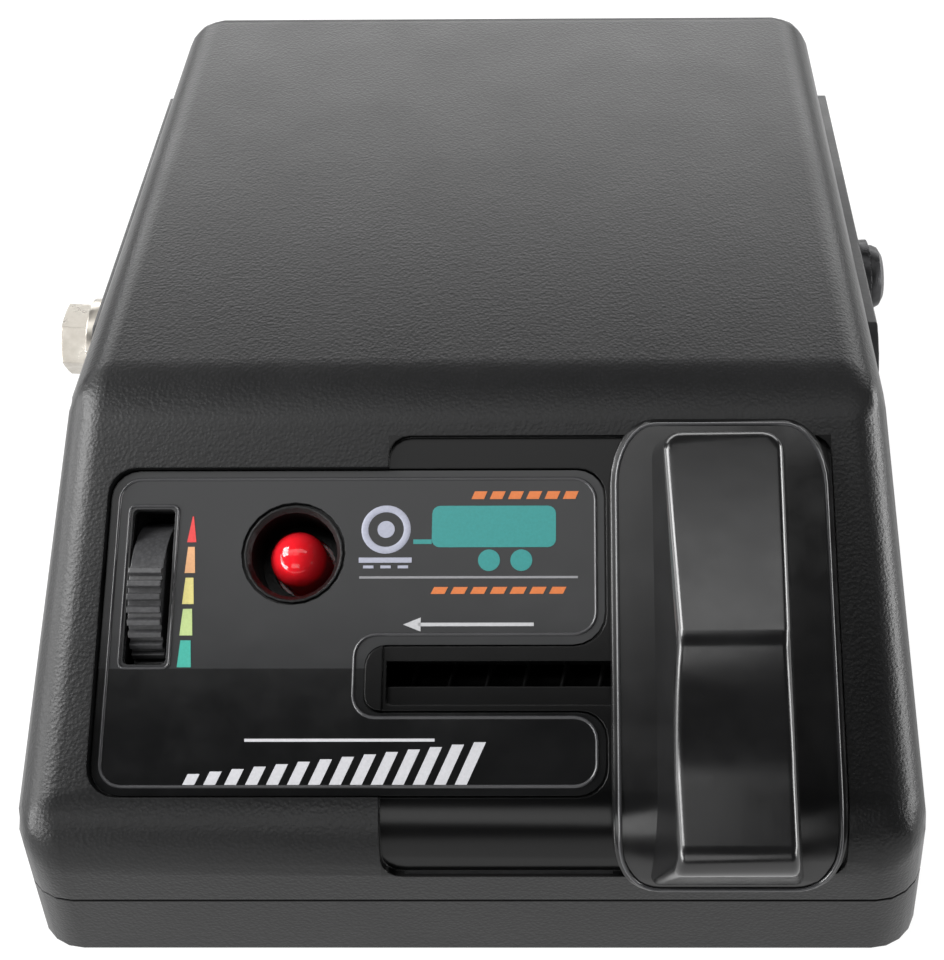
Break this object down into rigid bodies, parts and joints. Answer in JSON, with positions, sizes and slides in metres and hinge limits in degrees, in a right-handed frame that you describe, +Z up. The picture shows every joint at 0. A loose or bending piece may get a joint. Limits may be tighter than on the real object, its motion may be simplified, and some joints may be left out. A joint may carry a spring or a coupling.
{
  "type": "trailer brake controller",
  "caption": "Wedge-shaped in-cab trailer brake controller with a sprung manual slide lever, thumbwheel gain control, red lamp and bolted side-arm bracket.",
  "frame": {"origin": "on the flat underside of the bracket's base, which the unit stands on, midway across it and 17.5 mm in front of the middle of its mounting slots", "axes": "+X to the right of whoever faces the controls, +Y towards the back where the cable leaves, +Z up"},
  "size_m": [0.0853, 0.1141, 0.0378],
  "materials": {
    "top_housing": "fine-textured black moulded plastic",
    "bottom_cover": "fine-textured black moulded plastic, a shade lighter",
    "face_label": "glossy black face plate",
    "slide_knob": "glossy black moulded plastic",
    "slide_carriage": "dark nylon",
    "slide_guide_rod": "black-finished steel",
    "slide_return_spring": "black-finished spring steel wire",
    "slide_pot_body": "plated sheet steel",
    "slide_pot_lever": "dark nylon",
    "gain_wheel": "black moulded plastic",
    "gain_pot_body": "dark moulded plastic",
    "sync_wheel": "black moulded plastic",
    "sync_pot_body": "dark moulded plastic",
    "lamp_lens": "red epoxy",
    "lamp_lead_left": "tinned wire",
    "lamp_lead_right": "tinned wire",
    "circuit_board": "green solder mask on glass-epoxy",
    "controller_chip": "black moulding compound",
    "driver_chip": "black moulding compound",
    "capacitor_large": "aluminium can in a blue sleeve",
    "capacitor_small": "aluminium can in a blue sleeve",
    "shunt_resistor": "pale ceramic block",
    "wire_terminal_block": "dark nylon",
    "heat_sink": "plain extruded aluminium",
    "power_transistor": "black moulding compound",
    "transistor_screw": "zinc-plated steel",
    "cable_gland": "black rubber",
    "mounting_bracket": "black-coated sheet steel",
    "bracket_bolt_left": "zinc-plated steel",
    "bracket_bolt_right": "black-finished steel",
    "bracket_washer_left": "zinc-plated steel",
    "bracket_washer_right": "black-finished steel",
    "bracket_insert_left_front": "turned brass",
    "bracket_insert_left_rear": "turned brass",
    "bracket_insert_right_front": "turned brass",
    "bracket_insert_right_rear": "turned brass",
    "case_screw_1": "black-finished steel",
    "case_screw_2": "black-finished steel",
    "case_screw_3": "black-finished steel",
    "case_screw_4": "black-finished steel",
    "board_screw_1": "zinc-plated steel",
    "board_screw_2": "zinc-plated steel",
    "board_screw_3": "zinc-plated steel",
    "board_screw_4": "zinc-plated steel"
  },
  "bodies": {
    "case": {"top_housing": "top_housing", "bottom_cover": "bottom_cover", "face_label": "face_label", "slide_guide_rod": "slide_guide_rod", "slide_return_spring": "slide_return_spring", "slide_pot_body": "slide_pot_body", "gain_pot_body": "gain_pot_body", "sync_pot_body": "sync_pot_body", "lamp_lens": "lamp_lens", "lamp_lead_left": "lamp_lead_left", "lamp_lead_right": "lamp_lead_right", "circuit_board": "circuit_board", "controller_chip": "controller_chip", "driver_chip": "driver_chip", "capacitor_large": "capacitor_large", "capacitor_small": "capacitor_small", "shunt_resistor": "shunt_resistor", "wire_terminal_block": "wire_terminal_block", "heat_sink": "heat_sink", "power_transistor": "power_transistor", "transistor_screw": "transistor_screw", "cable_gland": "cable_gland", "mounting_bracket": "mounting_bracket", "bracket_bolt_left": "bracket_bolt_left", "bracket_bolt_right": "bracket_bolt_right", "bracket_washer_left": "bracket_washer_left", "bracket_washer_right": "bracket_washer_right", "bracket_insert_left_front": "bracket_insert_left_front", "bracket_insert_left_rear": "bracket_insert_left_rear", "bracket_insert_right_front": "bracket_insert_right_front", "bracket_insert_right_rear": "bracket_insert_right_rear", "case_screw_1": "case_screw_1", "case_screw_2": "case_screw_2", "case_screw_3": "case_screw_3", "case_screw_4": "case_screw_4", "board_screw_1": "board_screw_1", "board_screw_2": "board_screw_2", "board_screw_3": "board_screw_3", "board_screw_4": "board_screw_4"},
    "slide_lever": {"slide_knob": "slide_knob", "slide_carriage": "slide_carriage", "slide_pot_lever": "slide_pot_lever"},
    "gain_control": {"gain_wheel": "gain_wheel"},
    "sync_control": {"sync_wheel": "sync_wheel"}
  },
  "joints": [
    {"name": "manual_slide", "type": "slide", "parent": "case", "child": "slide_lever", "axis": [-1, 0, 0], "range_m": [0, 0.0192], "stiffness_N_per_m": 120, "springref_m": -0.006, "deforming": ["slide_return_spring"]},
    {"name": "gain_turn", "type": "hinge", "parent": "case", "child": "gain_control", "pos_m": [-0.0295, -0.0301, 0.02093], "axis": [1, 0, 0], "range_deg": [-135, 135]},
    {"name": "sync_turn", "type": "hinge", "parent": "case", "child": "sync_control", "pos_m": [-0.0308, -0.01578, 0.011], "axis": [0, 0, 1], "range_deg": [-135, 135]}
  ]
}
